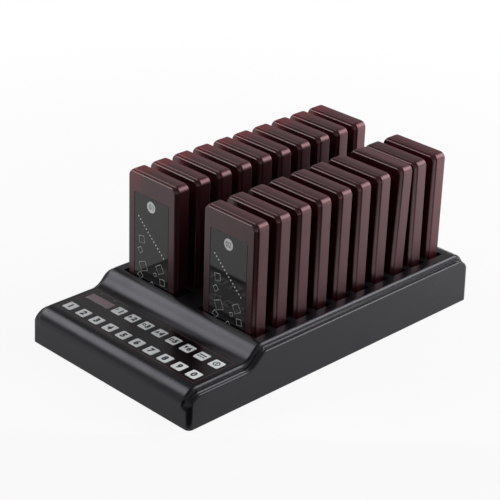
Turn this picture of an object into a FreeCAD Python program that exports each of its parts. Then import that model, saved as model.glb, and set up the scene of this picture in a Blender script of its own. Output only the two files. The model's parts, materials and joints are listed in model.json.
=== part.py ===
import FreeCAD, Part
import math
import os

V = FreeCAD.Vector

# Guest pager system: a charging base with a keypad deck and two rows of upright pagers.
# Millimetres. +Z is up and the feet stand on Z = 0. The keypad faces -Y, and X runs along the keypad.
# The origin is on the table, under the middle of the base.

# ---- base housing
foot_stand = 1.2            # how far the rubber feet lift the housing off the table
key_deck_height = 29.1      # above the housing's lower edge
deck_step = 10.7            # key deck up to the slot deck
wall = 2.4                  # moulded wall of the housing
wall_draft = 1.0            # degrees, on all four walls
nose_radius = 12.0          # front wall into the key deck
tail_radius = 12.5          # slot deck into the rear wall
ramp_foot_radius = 15.4      # hollow bend at the bottom of the ramp
ramp_crest_radius = 11.0     # round bend at the top of the ramp
ramp_tilt = 48.0            # degrees, the straight stretch between the bends
skirt_corner_radius = 4.0   # upright corners of the skirt
deck_corner_radius = 4.5    # upright corners of the raised deck
tail_margin = 17.46         # last slot to the foot of the rear wall

# ---- stepped rim along both sides
rim_inset = 5.0             # skirt to the side of the raised deck
deck_edge_radius = 2.8
rim_step_width = 0.6
rim_step_height = 1.0
rim_edge_cut = 1.5

# ---- bottom cover, feet and case screws
cover_thickness = 2.4
cover_gap = 0.3
foot_width = 12.0
foot_length = 20.0
foot_recess = 1.0
foot_inset = 24.6           # side wall to the middle of a foot
foot_setback = 23.1         # front and rear walls to the middle of a foot
boss_inset = 7.0            # side wall to the middle of a screw boss
boss_setback = 16.0         # rear wall to the bosses
boss_size = 8.0
boss_height = 16.0
tab_offset = 55.0           # middle of the base to the middle of a tab
tab_width = 12.0
tab_reach = 1.5             # how far a tab runs into the front wall
tab_thickness = 1.2
tab_gap = 0.15
screw_radius = 1.4
screw_head_radius = 2.8
screw_head_height = 1.6
screw_length = 10.0
screw_clearance = 0.05      # round the shank in its boss
screw_hole_clearance = 0.3  # round the shank and the head in the cover
pilot_spare = 1.4           # pilot hole past the screw's point

# ---- pagers
pager_rows = 10
pager_pitch = 21.36
pager_width = 53.0
pager_height = 105.0
pager_corner_radius = 5.0
plain_flat_count = 2        # flats in each corner of a plain pager
pager_shell_depth = 9.2
pager_groove_depth = 1.2
pager_cover_depth = 3.0
pager_groove_inset = 0.9
pager_cover_inset = 0.5
pager_edge = 0.9            # broken edge round the back
pager_face_edge = 1.4       # broken edge round the face
pager_wall = 1.6
window_width = 37.6
window_height = 78.2
window_below_top = 16.3
window_depth = 0.8
window_gap = 0.05
pager_board_thickness = 1.0
pager_board_margin = 0.8
battery_width = 34.0
battery_height = 42.0
battery_thickness = 3.4
battery_lift = 30.0
motor_radius = 3.4
motor_length = 9.0
motor_below_top = 19.0
signal_lamp_size = 2.8
signal_lamp_thickness = 1.0
signal_lamp_inset = 10.0    # side, top and foot of the shell to a lamp
pad_width = 7.0
pad_depth = 3.2
pad_thickness = 0.5
pad_spacing = 14.0

# Each pager stands loosely in its well and leans by a small angle, in degrees, back as positive.
lean_left = (0.0, 0.0, 0.3, 0.1, 0.2, -0.2, 0.0, 0.2, 0.0, -0.2)
lean_right = (0.0, 0.2, 0.0, -0.2, 0.3, -0.1, 0.2, 2.1, -0.8, -0.3)

# ---- wells
insert_depth = 19.0         # how deep a pager stands below the slot deck
slot_gap_x = 3.8            # pager to the end of its slot
slot_gap_y = 0.9            # pager to the side of its slot
column_gap = 22.0           # between the slots of the two rows
deck_margin = 10.0          # slot to the foot of the raised deck's side
crest_margin = 0.75         # end of the ramp to the first slot
well_wall = 1.5
well_floor = 1.6
seat_clearance = 0.2
contact_window_margin = 1.5

# ---- charging boards
board_thickness = 1.6
charge_board_drop = 6.2     # pager's foot to the top of the board
charge_board_margin = 2.0   # past the outermost slots
post_size = 6.0
post_inset = 1.0
spring_width = 3.0
spring_thickness = 0.3
spring_gap = 0.05           # tip of a spring to the pager's pad

# ---- keypad
key_size = 9.6
key_corner_cut = 0.7
key_margin = 8.5            # side of the overlay to the outer columns
key_row_spacing = 21.8
number_keys = 10
function_keys = 8
key_proud = 0.3
key_flange = 0.9
key_flange_thickness = 1.0
key_stem = 3.0
key_travel = 0.4
key_window_gap = 0.25
key_rest_gap = 0.05         # key over its switch at the end of its travel
overlay_setback = 13.7      # foot of the front wall to the overlay
overlay_side_margin = 5.6   # overlay to the foot of the raised deck's side
overlay_near_margin = 8.4   # near edge of the overlay to the number row
overlay_far_margin = 10.8   # function row to the far edge of the overlay
overlay_thickness = 0.5
overlay_gap = 0.15
overlay_corner_cut = 1.2
ramp_margin = 0.5           # overlay to the foot of the ramp
row_slot_gap = 0.6
keypad_board_drop = 7.0     # key deck to the top of the board
keypad_board_overhang = 0.5
keypad_rib = 1.5
switch_size = 6.0
switch_body_height = 1.4
switch_height = 2.6
plunger_size = 2.6

# ---- display and indicator lamps
display_width = 25.8
display_depth = 8.6
display_margin = 3.9        # side of the overlay to the window
lens_thickness = 2.2
lens_gap = 0.2
module_flange = 2.2
module_lip = 0.6
lamp_size = 1.6
lamp_gap = 0.1
lamp_margin = 2.7           # lamps to the far edge of the overlay
lamp_columns = 2

# ---- control board, aerial and power inlet
main_board_width = 42.0
main_board_depth = 64.0
main_board_height = 6.5     # housing's lower edge to the top of the board
main_board_gap = 2.0
radio_size = (14.0, 16.0, 2.4)
controller_size = (9.0, 9.0, 1.2)
regulator_size = (8.0, 10.0, 4.0)
inlet_width = 9.0
inlet_depth = 12.5
inlet_height = 11.0
inlet_bore_radius = 3.2
inlet_bore_depth = 9.5
inlet_pin_radius = 1.0
inlet_pin_setback = 1.0
inlet_gap = 0.3
inlet_setback = 0.2
aerial_width = 4.0
aerial_thickness = 0.4
aerial_rise = 4.6
aerial_run = 50.0
aerial_inset = 4.0

overcut = 1.0               # how far a cutting shape runs past the face that it opens

# ---- worked out from the sizes above
slope = math.tan(math.radians(wall_draft))
slot_deck_height = key_deck_height + deck_step
pager_depth = pager_shell_depth + pager_groove_depth + pager_cover_depth
slot_length = pager_width + 2 * slot_gap_x
slot_width = pager_depth + 2 * slot_gap_y
pager_column_offset = column_gap / 2 + slot_length / 2
deck_width = column_gap + 2 * slot_length + 2 * deck_margin
step_width = deck_width + 2 * rim_step_width
base_width = deck_width + 2 * rim_inset
step_drop = deck_edge_radius
ledge_drop = deck_edge_radius + rim_step_height
overlay_width = deck_width - 2 * overlay_side_margin
overlay_depth = overlay_near_margin + key_row_spacing + overlay_far_margin
key_pitch = (overlay_width - 2 * key_margin) / (number_keys - 1)
ramp_bends = ramp_foot_radius + ramp_crest_radius
ramp_angle = math.radians(ramp_tilt)
ramp_straight_rise = deck_step - ramp_bends * (1 - math.cos(ramp_angle))
ramp_length = ramp_bends * math.sin(ramp_angle) + ramp_straight_rise / math.tan(ramp_angle)
pager_field = slot_width + (pager_rows - 1) * pager_pitch
base_depth = (overlay_setback + overlay_depth + ramp_margin + ramp_length + crest_margin
              + pager_field + tail_margin)
front_y = -base_depth / 2
rear_y = base_depth / 2
overlay_near_y = front_y + overlay_setback
overlay_far_y = overlay_near_y + overlay_depth
overlay_y = (overlay_near_y + overlay_far_y) / 2
number_row_y = overlay_near_y + overlay_near_margin
function_row_y = number_row_y + key_row_spacing
lamp_y = overlay_far_y - lamp_margin
display_x = -overlay_width / 2 + display_margin + display_width / 2
ramp_foot_y = overlay_far_y + ramp_margin
ramp_crest_y = ramp_foot_y + ramp_length
first_slot_y = ramp_crest_y + crest_margin
first_pager_y = first_slot_y + slot_width / 2
last_slot_y = first_slot_y + pager_field
pager_foot_z = slot_deck_height - insert_depth
well_floor_z = pager_foot_z - seat_clearance
deck_underside_z = key_deck_height - wall
overlay_floor_z = key_deck_height - overlay_thickness
keypad_board_z = key_deck_height - keypad_board_drop
charge_board_z = pager_foot_z - charge_board_drop
main_board_x = pager_column_offset
main_board_y = rear_y - wall - main_board_gap - main_board_depth / 2
inlet_middle_z = main_board_height + inlet_height / 2
inlet_front_y = rear_y - inlet_middle_z * slope - inlet_setback
pager_face_y = -pager_depth / 2
cover_back_y = pager_face_y + pager_cover_depth
shell_front_y = cover_back_y + pager_groove_depth
pager_back_y = pager_depth / 2
pager_inside = pager_groove_inset + pager_wall
pager_room_back_y = pager_back_y - pager_wall
pad_y = (shell_front_y + pager_back_y) / 2
window_top = pager_height - pager_cover_inset - window_below_top


def box(x0, x1, y0, y1, z0, z1):
    return Part.makeBox(x1 - x0, y1 - y0, z1 - z0, V(x0, y0, z0))


def centred_box(cx, cy, width, depth, z0, z1):
    return box(cx - width / 2, cx + width / 2, cy - depth / 2, cy + depth / 2, z0, z1)


def clipped_slab(width, depth, cut, z0, z1, cx=0.0, cy=0.0):
    """A flat slab with its upright corners cut off."""
    slab = centred_box(cx, cy, width, depth, z0, z1)
    upright = [e for e in slab.Edges if e.BoundBox.XLength + e.BoundBox.YLength < 0.001]
    return slab.makeChamfer(cut, upright)


# ---- housing

def side_profile(inset, drop):
    """The housing seen from the side, as a face in the YZ plane. It runs from the front wall over the
    nose, the key deck, the ramp, the slot deck and the tail. inset moves every line inwards, and drop
    lowers the decks."""
    key_z = key_deck_height - drop - inset
    slot_z = slot_deck_height - drop - inset
    nose = nose_radius - inset
    tail = tail_radius - inset
    draft = math.radians(wall_draft)
    foot_front = front_y + inset / math.cos(draft)
    foot_rear = rear_y - inset / math.cos(draft)
    nose_y = foot_front + (key_z - nose) * slope + nose / math.cos(draft)
    tail_y = foot_rear - (slot_z - tail) * slope - tail / math.cos(draft)
    quarter = math.pi / 2

    hollow = ramp_foot_radius + inset
    crest = ramp_crest_radius - inset

    # each arc: centre, radius, and the angles it runs between
    arcs = [
        (nose_y, key_z - nose, nose, math.pi - draft, quarter),
        (ramp_foot_y, key_z + hollow, hollow, -quarter, ramp_angle - quarter),
        (ramp_crest_y, slot_z - crest, crest, ramp_angle + quarter, quarter),
        (tail_y, slot_z - tail, tail, quarter, draft),
    ]
    edges = []
    here = V(0, foot_front, 0)
    for cy, cz, radius, start, end in arcs:
        points = []
        for angle in (start, (start + end) / 2, end):
            points.append(V(0, cy + radius * math.cos(angle), cz + radius * math.sin(angle)))
        if here.distanceToPoint(points[0]) > 1e-6:
            edges.append(Part.LineSegment(here, points[0]).toShape())
        edges.append(Part.Arc(*points).toShape())
        here = points[2]
    rear_foot = V(0, foot_rear, 0)
    edges.append(Part.LineSegment(here, rear_foot).toShape())
    edges.append(Part.LineSegment(rear_foot, V(0, foot_front, 0)).toShape())
    return Part.Face(Part.Wire(edges))


def drafted_block(width, depth, height):
    """A block whose four walls lean in by the draft, with its foot at Z = 0."""
    x = width / 2
    y = depth / 2
    lean_in = height * slope
    block = Part.makeWedge(-x, 0, -y, -y + lean_in, -x + lean_in, x, height, y, y - lean_in, x - lean_in)
    block.rotate(V(0, 0, 0), V(1, 0, 0), 90)
    return block


def ridge(width, inset, drop):
    """The side profile drawn out along X, between leaning side walls."""
    height = slot_deck_height + wall
    prism = side_profile(inset, drop).extrude(V(base_width, 0, 0))
    prism.translate(V(-base_width / 2, 0, 0))
    sides = drafted_block(width, 2 * base_depth, height)
    return prism.common(sides)


def side_edges(shape):
    """The whole edge of both side faces, but for their feet."""
    edges = []
    for face in shape.Faces:
        if abs(face.normalAt(0, 0).x) > 0.9:
            edges += [e for e in face.Edges if e.BoundBox.ZMax > 0.01]
    return edges


def round_corners(shape, width, radius):
    """Trims the upright corners to a larger radius than the edges above them."""
    block = drafted_block(width, base_depth, slot_deck_height + wall)
    upright = [e for e in block.Edges if e.BoundBox.ZLength > wall]
    return shape.common(block.makeFillet(radius, upright))


def well_centres():
    for row in range(pager_rows):
        for side in (-1, 1):
            yield side * pager_column_offset, first_pager_y + row * pager_pitch


def key_centres(count, y):
    """Both rows end at the same column on the right."""
    first = (number_keys - 1) / 2 * key_pitch - (count - 1) * key_pitch
    return [(first + k * key_pitch, y) for k in range(count)]


def boss_centres():
    return [(side * (base_width / 2 - boss_inset), rear_y - boss_setback) for side in (-1, 1)]


def make_top_housing():
    skirt = ridge(base_width, 0.0, ledge_drop)
    skirt = skirt.makeChamfer(rim_edge_cut, side_edges(skirt))
    skirt = round_corners(skirt, base_width, skirt_corner_radius)
    step = round_corners(ridge(step_width, 0.0, step_drop), step_width, deck_corner_radius)
    deck = ridge(deck_width, 0.0, 0.0)
    deck = deck.makeFillet(deck_edge_radius, side_edges(deck))
    deck = round_corners(deck, deck_width, deck_corner_radius)
    shell = skirt.fuse(step).fuse(deck)
    deck_hollow = ridge(deck_width - 2 * wall, wall, 0.0)
    skirt_hollow = ridge(base_width - 2 * wall, wall, ledge_drop)
    shell = shell.cut(deck_hollow).cut(skirt_hollow)
    shell = shell.multiFuse(wells() + bosses() + keypad_ribs())
    openings = slots() + pilots() + tab_boxes(tab_gap) + deck_openings() + [inlet_cut()]
    return shell.cut(Part.makeCompound(openings)).removeSplitter()


def wells():
    """The outer block of each well, from its floor up into the deck."""
    length = slot_length + 2 * well_wall
    width = slot_width + 2 * well_wall
    top = slot_deck_height - wall / 2
    return [centred_box(x, y, length, width, well_floor_z - well_floor, top) for x, y in well_centres()]


def slots():
    """The inside of each well, and the window in its floor for the charging springs."""
    contact_length = pad_spacing + pad_width + 2 * contact_window_margin
    contact_width = pad_depth + 2 * contact_window_margin
    cuts = []
    for x, y in well_centres():
        cuts.append(centred_box(x, y, slot_length, slot_width, well_floor_z, slot_deck_height + overcut))
        cuts.append(centred_box(x, y + pad_y, contact_length, contact_width,
                                well_floor_z - well_floor - overcut, well_floor_z + overcut))
    return cuts


def bosses():
    """Screw bosses that stand against the side walls."""
    shapes = []
    for x, y in boss_centres():
        wall_x = math.copysign(base_width / 2 - wall / 2 - boss_height * slope, x)
        near_x = x - math.copysign(boss_size / 2, x)
        shapes.append(box(min(near_x, wall_x), max(near_x, wall_x), y - boss_size / 2, y + boss_size / 2,
                          cover_thickness, boss_height))
    return shapes


def pilots():
    radius = screw_radius + screw_clearance
    low = cover_thickness - overcut
    depth = screw_length + pilot_spare - low
    return [Part.makeCylinder(radius, depth, V(x, y, low)) for x, y in boss_centres()]


def tab_boxes(gap):
    """The tabs on the cover's front edge, or the pockets for them in the front wall."""
    front = front_y + wall - tab_reach - gap
    back = front_y + wall + cover_gap + overcut
    half = tab_width / 2 + gap
    low = cover_thickness - tab_thickness - gap
    high = cover_thickness + gap
    return [box(x - half, x + half, front, back, low, high) for x in (-tab_offset, tab_offset)]


def keypad_ribs():
    """Two ribs under the key deck, which the keypad board is held against."""
    half = overlay_width / 2
    top = deck_underside_z + wall / 2
    near = overlay_near_y - keypad_board_overhang
    far = overlay_far_y + keypad_board_overhang
    return [
        box(-half, half, near, near + keypad_rib, keypad_board_z, top),
        box(-half, half, far - keypad_rib, far, keypad_board_z, top),
    ]


def row_slot(count, y):
    centres = key_centres(count, y)
    reach = key_size / 2 + key_flange + row_slot_gap
    return box(centres[0][0] - reach, centres[-1][0] + reach, y - reach, y + reach,
               deck_underside_z - overcut, key_deck_height)


def deck_openings():
    """The recess for the overlay, and the openings below it for keys, display and lamps."""
    top = key_deck_height + overcut
    low = deck_underside_z - overcut
    openings = [
        clipped_slab(overlay_width + 2 * overlay_gap, overlay_depth + 2 * overlay_gap,
                     overlay_corner_cut, overlay_floor_z, top, 0.0, overlay_y),
        row_slot(number_keys, number_row_y),
        row_slot(function_keys, function_row_y),
        centred_box(display_x, function_row_y, display_width + 2 * lens_gap,
                    display_depth + 2 * lens_gap, low, top),
    ]
    size = lamp_size + 2 * lamp_gap
    return openings + [centred_box(x, y, size, size, low, top) for x, y in lamp_centres()]


def inlet_cut():
    half = inlet_width / 2 + inlet_gap
    return box(main_board_x - half, main_board_x + half, rear_y - 2 * wall, rear_y + overcut,
               main_board_height - inlet_gap, main_board_height + inlet_height + inlet_gap)


def lamp_centres():
    return key_centres(number_keys, lamp_y)[:lamp_columns]


def all_key_centres():
    return key_centres(number_keys, number_row_y) + key_centres(function_keys, function_row_y)


def make_keypad_overlay():
    sheet = clipped_slab(overlay_width, overlay_depth, overlay_corner_cut,
                         overlay_floor_z, key_deck_height, 0.0, overlay_y)
    size = key_size + 2 * key_window_gap
    low = overlay_floor_z - overcut
    high = key_deck_height + overcut
    cuts = [centred_box(x, y, size, size, low, high) for x, y in all_key_centres()]
    cuts.append(centred_box(display_x, function_row_y, display_width + lens_gap,
                            display_depth + lens_gap, low, high))
    return sheet.cut(Part.makeCompound(cuts))


def make_key(x, y):
    """A key cap, the flange that the overlay holds down, and the stem over its switch."""
    flange_low = overlay_floor_z - key_flange_thickness
    cap = clipped_slab(key_size, key_size, key_corner_cut, flange_low, key_deck_height + key_proud, x, y)
    flange_size = key_size + 2 * key_flange
    flange = centred_box(x, y, flange_size, flange_size, flange_low, overlay_floor_z)
    stem_foot = keypad_board_z + switch_height + key_travel + key_rest_gap
    stem = centred_box(x, y, key_stem, key_stem, stem_foot, overlay_floor_z)
    return cap.multiFuse([flange, stem]).removeSplitter()


def make_display_window():
    return centred_box(display_x, function_row_y, display_width, display_depth,
                       key_deck_height - lens_thickness, key_deck_height)


def make_display_module():
    """The digit block that stands on the keypad board and carries the window."""
    top = key_deck_height - lens_thickness
    body = centred_box(display_x, function_row_y, display_width, display_depth + 2 * module_flange,
                       keypad_board_z, deck_underside_z - module_lip)
    neck = centred_box(display_x, function_row_y, display_width, display_depth, keypad_board_z, top)
    return body.fuse(neck).removeSplitter()


def make_keypad_board():
    return box(-overlay_width / 2, overlay_width / 2, overlay_near_y - keypad_board_overhang,
               overlay_far_y + keypad_board_overhang, keypad_board_z - board_thickness, keypad_board_z)


def make_key_switches():
    switches = []
    z = keypad_board_z
    for x, y in all_key_centres():
        body = centred_box(x, y, switch_size, switch_size, z, z + switch_body_height)
        plunger = centred_box(x, y, plunger_size, plunger_size, z, z + switch_height)
        switches.append(body.fuse(plunger).removeSplitter())
    return Part.makeCompound(switches)


def make_status_lamps():
    """Light guides that stand on the keypad board and shine up through the overlay."""
    return Part.makeCompound([centred_box(x, y, lamp_size, lamp_size, keypad_board_z, overlay_floor_z)
                              for x, y in lamp_centres()])


# ---- underside

def foot_centres():
    x = base_width / 2 - foot_inset
    y = base_depth / 2 - foot_setback
    return [(side * x, end * y) for side in (-1, 1) for end in (-1, 1)]


def charge_board_ends():
    return first_slot_y - charge_board_margin, last_slot_y + charge_board_margin


def charge_board_posts():
    """Three pairs of posts under each charging board, just inside its edges."""
    near, far = charge_board_ends()
    edge = post_inset + post_size / 2
    reach = slot_length / 2 + charge_board_margin - edge
    centres = []
    for column in (-pager_column_offset, pager_column_offset):
        for x in (column - reach, column + reach):
            for y in (near + edge, (near + far) / 2, far - edge):
                centres.append((x, y))
    return centres


def main_board_posts():
    x = main_board_width / 2 - post_size / 2
    y = main_board_depth / 2 - post_size / 2
    return [(main_board_x + i * x, main_board_y + j * y) for i in (-1, 1) for j in (-1, 1)]


def make_bottom_cover():
    inset = wall + cover_gap
    plate = centred_box(0, 0, base_width - 2 * inset, base_depth - 2 * inset, 0, cover_thickness)
    posts = []
    for centres, board_z in ((charge_board_posts(), charge_board_z), (main_board_posts(), main_board_height)):
        top = board_z - board_thickness
        posts += [centred_box(x, y, post_size, post_size, cover_thickness / 2, top) for x, y in centres]
    plate = plate.multiFuse(posts + tab_boxes(0.0))
    cuts = [screw_shape(x, y, screw_hole_clearance) for x, y in boss_centres()]
    cuts += [centred_box(x, y, foot_width, foot_length, -overcut, foot_recess) for x, y in foot_centres()]
    return plate.cut(Part.makeCompound(cuts)).removeSplitter()


def screw_shape(x, y, clearance):
    """A countersunk screw, point up, its head flush with the underside of the cover."""
    shank = screw_radius + clearance
    head = screw_head_radius + clearance
    points = [V(0, 0, 0), V(head, 0, 0), V(shank, 0, screw_head_height), V(shank, 0, screw_length),
              V(0, 0, screw_length)]
    outline = Part.Face(Part.makePolygon(points + [points[0]]))
    screw = outline.revolve(V(0, 0, 0), V(0, 0, 1), 360)
    screw.translate(V(x, y, 0))
    return screw


def make_housing_screws():
    return Part.makeCompound([screw_shape(x, y, 0.0) for x, y in boss_centres()])


def make_rubber_feet():
    return Part.makeCompound([centred_box(x, y, foot_width, foot_length, -foot_stand, foot_recess)
                              for x, y in foot_centres()])


def make_charging_boards():
    near, far = charge_board_ends()
    half = slot_length / 2 + charge_board_margin
    boards = []
    for x in (-pager_column_offset, pager_column_offset):
        boards.append(box(x - half, x + half, near, far, charge_board_z - board_thickness, charge_board_z))
    return Part.makeCompound(boards)


def make_charging_springs():
    """Two leaves in each well. Each stands on the board and slants up through the window in the well's
    floor to the pager's pad."""
    rise = pager_foot_z - spring_gap - charge_board_z
    reach = pad_depth / 2
    t = spring_thickness
    points = [V(0, -reach, 0), V(0, -reach + t, 0), V(0, reach, rise), V(0, reach - t, rise)]
    strip = Part.Face(Part.makePolygon(points + [points[0]])).extrude(V(spring_width, 0, 0))
    springs = []
    for x, y in well_centres():
        for side in (-1, 1):
            spring = strip.copy()
            spring.translate(V(x + side * pad_spacing / 2 - spring_width / 2, y + pad_y, charge_board_z))
            springs.append(spring)
    return Part.makeCompound(springs)


def make_main_board():
    """The control board with its radio, controller and regulator."""
    x = main_board_x
    y = main_board_y
    z = main_board_height
    board = centred_box(x, y, main_board_width, main_board_depth, z - board_thickness, z)
    places = (
        (radio_size, x - main_board_width / 4, y - main_board_depth / 8),
        (controller_size, x + main_board_width / 4, y - main_board_depth / 8),
        (regulator_size, x - main_board_width / 4, y + main_board_depth / 4),
    )
    chips = [centred_box(cx, cy, size[0], size[1], z, z + size[2]) for size, cx, cy in places]
    return Part.makeCompound([board] + chips)


def make_power_inlet():
    """A barrel jack that stands on the control board behind the opening in the rear wall."""
    x = main_board_x
    front = inlet_front_y
    body = box(x - inlet_width / 2, x + inlet_width / 2, front - inlet_depth, front,
               main_board_height, main_board_height + inlet_height)
    inward = V(0, -1, 0)
    bore = Part.makeCylinder(inlet_bore_radius, inlet_bore_depth, V(x, front, inlet_middle_z), inward)
    pin_tip = V(x, front - inlet_pin_setback, inlet_middle_z)
    pin = Part.makeCylinder(inlet_pin_radius, inlet_bore_depth, pin_tip, inward)
    return body.cut(bore).fuse(pin)


def make_aerial():
    """A bent metal strip that stands up from the control board and runs forward under the wells."""
    x = main_board_x - main_board_width / 4
    y = main_board_y - main_board_depth / 2 + aerial_inset
    low = main_board_height
    high = low + aerial_rise
    t = aerial_thickness
    points = [V(0, y, low), V(0, y, high), V(0, y - aerial_run, high), V(0, y - aerial_run, high - t),
              V(0, y - t, high - t), V(0, y - t, low)]
    strip = Part.Face(Part.makePolygon(points + [points[0]])).extrude(V(aerial_width, 0, 0))
    strip.translate(V(x - aerial_width / 2, 0, 0))
    return strip


# ---- pagers, modelled upright about their own foot with the face towards -Y

def upright_slab(width, height, radius, y0, y1, lift, flats):
    """A plate standing on its lower edge, between two planes of Y. Its corners are round, or are made of
    a few flats."""
    if flats == 0:
        slab = box(-width / 2, width / 2, y0, y1, lift, lift + height)
        corners = [e for e in slab.Edges if e.BoundBox.XLength + e.BoundBox.ZLength < 0.001]
        return slab.makeFillet(radius, corners)
    points = []
    for quarter in range(4):
        cx = (width / 2 - radius) * (1, -1, -1, 1)[quarter]
        cz = lift + height / 2 + (height / 2 - radius) * (1, 1, -1, -1)[quarter]
        for k in range(flats + 1):
            angle = (quarter + k / flats) * math.pi / 2
            points.append(V(cx + radius * math.cos(angle), y0, cz + radius * math.sin(angle)))
    return Part.Face(Part.makePolygon(points + [points[0]])).extrude(V(0, y1 - y0, 0))


def break_edge(shape, y, size):
    """Cuts a narrow bevel round the outline that lies at one Y."""
    edges = [e for e in shape.Edges if e.BoundBox.YLength < 0.001 and abs(e.BoundBox.YMin - y) < 0.001]
    return shape.makeChamfer(size, edges)


def make_pager_cover(flats):
    inset = pager_cover_inset
    cover = upright_slab(pager_width - 2 * inset, pager_height - 2 * inset, pager_corner_radius - inset,
                         pager_face_y, cover_back_y, inset, flats)
    if flats == 0:
        cover = break_edge(cover, pager_face_y, pager_face_edge)
    pocket = box(-window_width / 2, window_width / 2, pager_face_y - overcut, pager_face_y + window_depth,
                 window_top - window_height, window_top)
    return cover.cut(pocket)


def make_pager_window():
    half = window_width / 2 - window_gap
    return box(-half, half, pager_face_y, pager_face_y + window_depth,
               window_top - window_height + window_gap, window_top - window_gap)


def make_pager_shell(flats):
    """The rear shell with the neck that fills the groove behind the cover."""
    body = upright_slab(pager_width, pager_height, pager_corner_radius,
                        shell_front_y, pager_back_y, 0.0, flats)
    if flats == 0:
        body = break_edge(body, pager_back_y, pager_edge)
        body = break_edge(body, shell_front_y, pager_cover_inset)
    inset = pager_groove_inset
    neck = upright_slab(pager_width - 2 * inset, pager_height - 2 * inset, pager_corner_radius - inset,
                        cover_back_y, shell_front_y + pager_wall, inset, flats)
    cavity = box(-pager_width / 2 + pager_inside, pager_width / 2 - pager_inside, cover_back_y - overcut,
                 pager_room_back_y, pager_inside, pager_height - pager_inside)
    return body.fuse(neck).removeSplitter().cut(cavity)


def pad_blocks():
    return [centred_box(side * pad_spacing / 2, pad_y, pad_width, pad_depth, 0, pad_thickness)
            for side in (-1, 1)]


def make_pager_board():
    inside = pager_inside + pager_board_margin
    return box(-pager_width / 2 + inside, pager_width / 2 - inside, cover_back_y,
               cover_back_y + pager_board_thickness, inside, pager_height - inside)


def make_pager_battery():
    return box(-battery_width / 2, battery_width / 2, pager_room_back_y - battery_thickness,
               pager_room_back_y, battery_lift, battery_lift + battery_height)


def make_pager_motor():
    y = cover_back_y + pager_board_thickness + motor_radius
    z = pager_height - motor_below_top
    return Part.makeCylinder(motor_radius, motor_length, V(-motor_length / 2, y, z), V(1, 0, 0))


def make_pager_lamps():
    """Surface lamps on the back of the board, which light the red case."""
    lamps = []
    half = signal_lamp_size / 2
    y = cover_back_y + pager_board_thickness
    reach = pager_width / 2 - signal_lamp_inset
    for x in (-reach, reach):
        for z in (signal_lamp_inset, pager_height - signal_lamp_inset):
            lamps.append(box(x - half, x + half, y, y + signal_lamp_thickness, z - half, z + half))
    return Part.makeCompound(lamps)


def place_pager(shape, x, y, lean):
    """Stands a pager in its well. A lean tips it about the lower edge that stays on the floor."""
    edge = pager_back_y if lean > 0 else pager_face_y
    placed = shape.copy()
    placed.rotate(V(0, edge, 0), V(1, 0, 0), -lean)
    placed.translate(V(x, y, pager_foot_z))
    return placed


def make_pager_pieces():
    """Every piece of one pager, with round corners."""
    pads = Part.makeCompound(pad_blocks())
    return {
        "front_cover": make_pager_cover(0),
        "rear_shell": make_pager_shell(0).cut(pads),
        "window_panel": make_pager_window(),
        "circuit_board": make_pager_board(),
        "battery": make_pager_battery(),
        "charging_pads": pads,
        "vibration_motor": make_pager_motor(),
        "signal_lamps": make_pager_lamps(),
    }


def make_plain_pager():
    """A pager with fewer faces and only its larger pieces, for all but the first."""
    return [make_pager_cover(plain_flat_count), make_pager_shell(plain_flat_count),
            make_pager_window(), make_pager_board(), make_pager_battery()]


def pager_places():
    """Number, X, Y and lean of each pager: odd numbers in the left row, even in the right."""
    for row in range(pager_rows):
        y = first_pager_y + row * pager_pitch
        yield 2 * row + 1, -pager_column_offset, y, lean_left[row % len(lean_left)]
        yield 2 * row + 2, pager_column_offset, y, lean_right[row % len(lean_right)]


def build():
    parts = {
        "top_housing": make_top_housing(),
        "bottom_cover": make_bottom_cover(),
        "rubber_feet": make_rubber_feet(),
        "housing_screws": make_housing_screws(),
        "keypad_overlay": make_keypad_overlay(),
        "display_window": make_display_window(),
        "display_module": make_display_module(),
        "keypad_board": make_keypad_board(),
        "key_switches": make_key_switches(),
        "status_lamps": make_status_lamps(),
        "charging_boards": make_charging_boards(),
        "charging_springs": make_charging_springs(),
        "main_board": make_main_board(),
        "power_inlet": make_power_inlet(),
        "aerial": make_aerial(),
    }
    for k, (x, y) in enumerate(key_centres(number_keys, number_row_y)):
        parts["number_key_%d" % ((k + 1) % 10)] = make_key(x, y)
    for k, (x, y) in enumerate(key_centres(function_keys, function_row_y)):
        parts["function_key_%d" % (k + 1)] = make_key(x, y)

    plain = Part.makeCompound(make_plain_pager())
    for number, x, y, lean in pager_places():
        if number == 1:
            for name, shape in make_pager_pieces().items():
                parts["pager_01_" + name] = place_pager(shape, x, y, lean)
        else:
            parts["pager_%02d" % number] = place_pager(plain, x, y, lean)
    return parts


def main():
    os.makedirs("parts", exist_ok=True)
    for name, shape in build().items():
        shape.translate(V(0, 0, foot_stand))
        shape.exportStep("parts/%s.step" % name)
    print("sub-parts written:", len(os.listdir("parts")))


main()
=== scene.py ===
import json
import math

import bmesh
import bpy
from mathutils import Matrix, Vector

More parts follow.
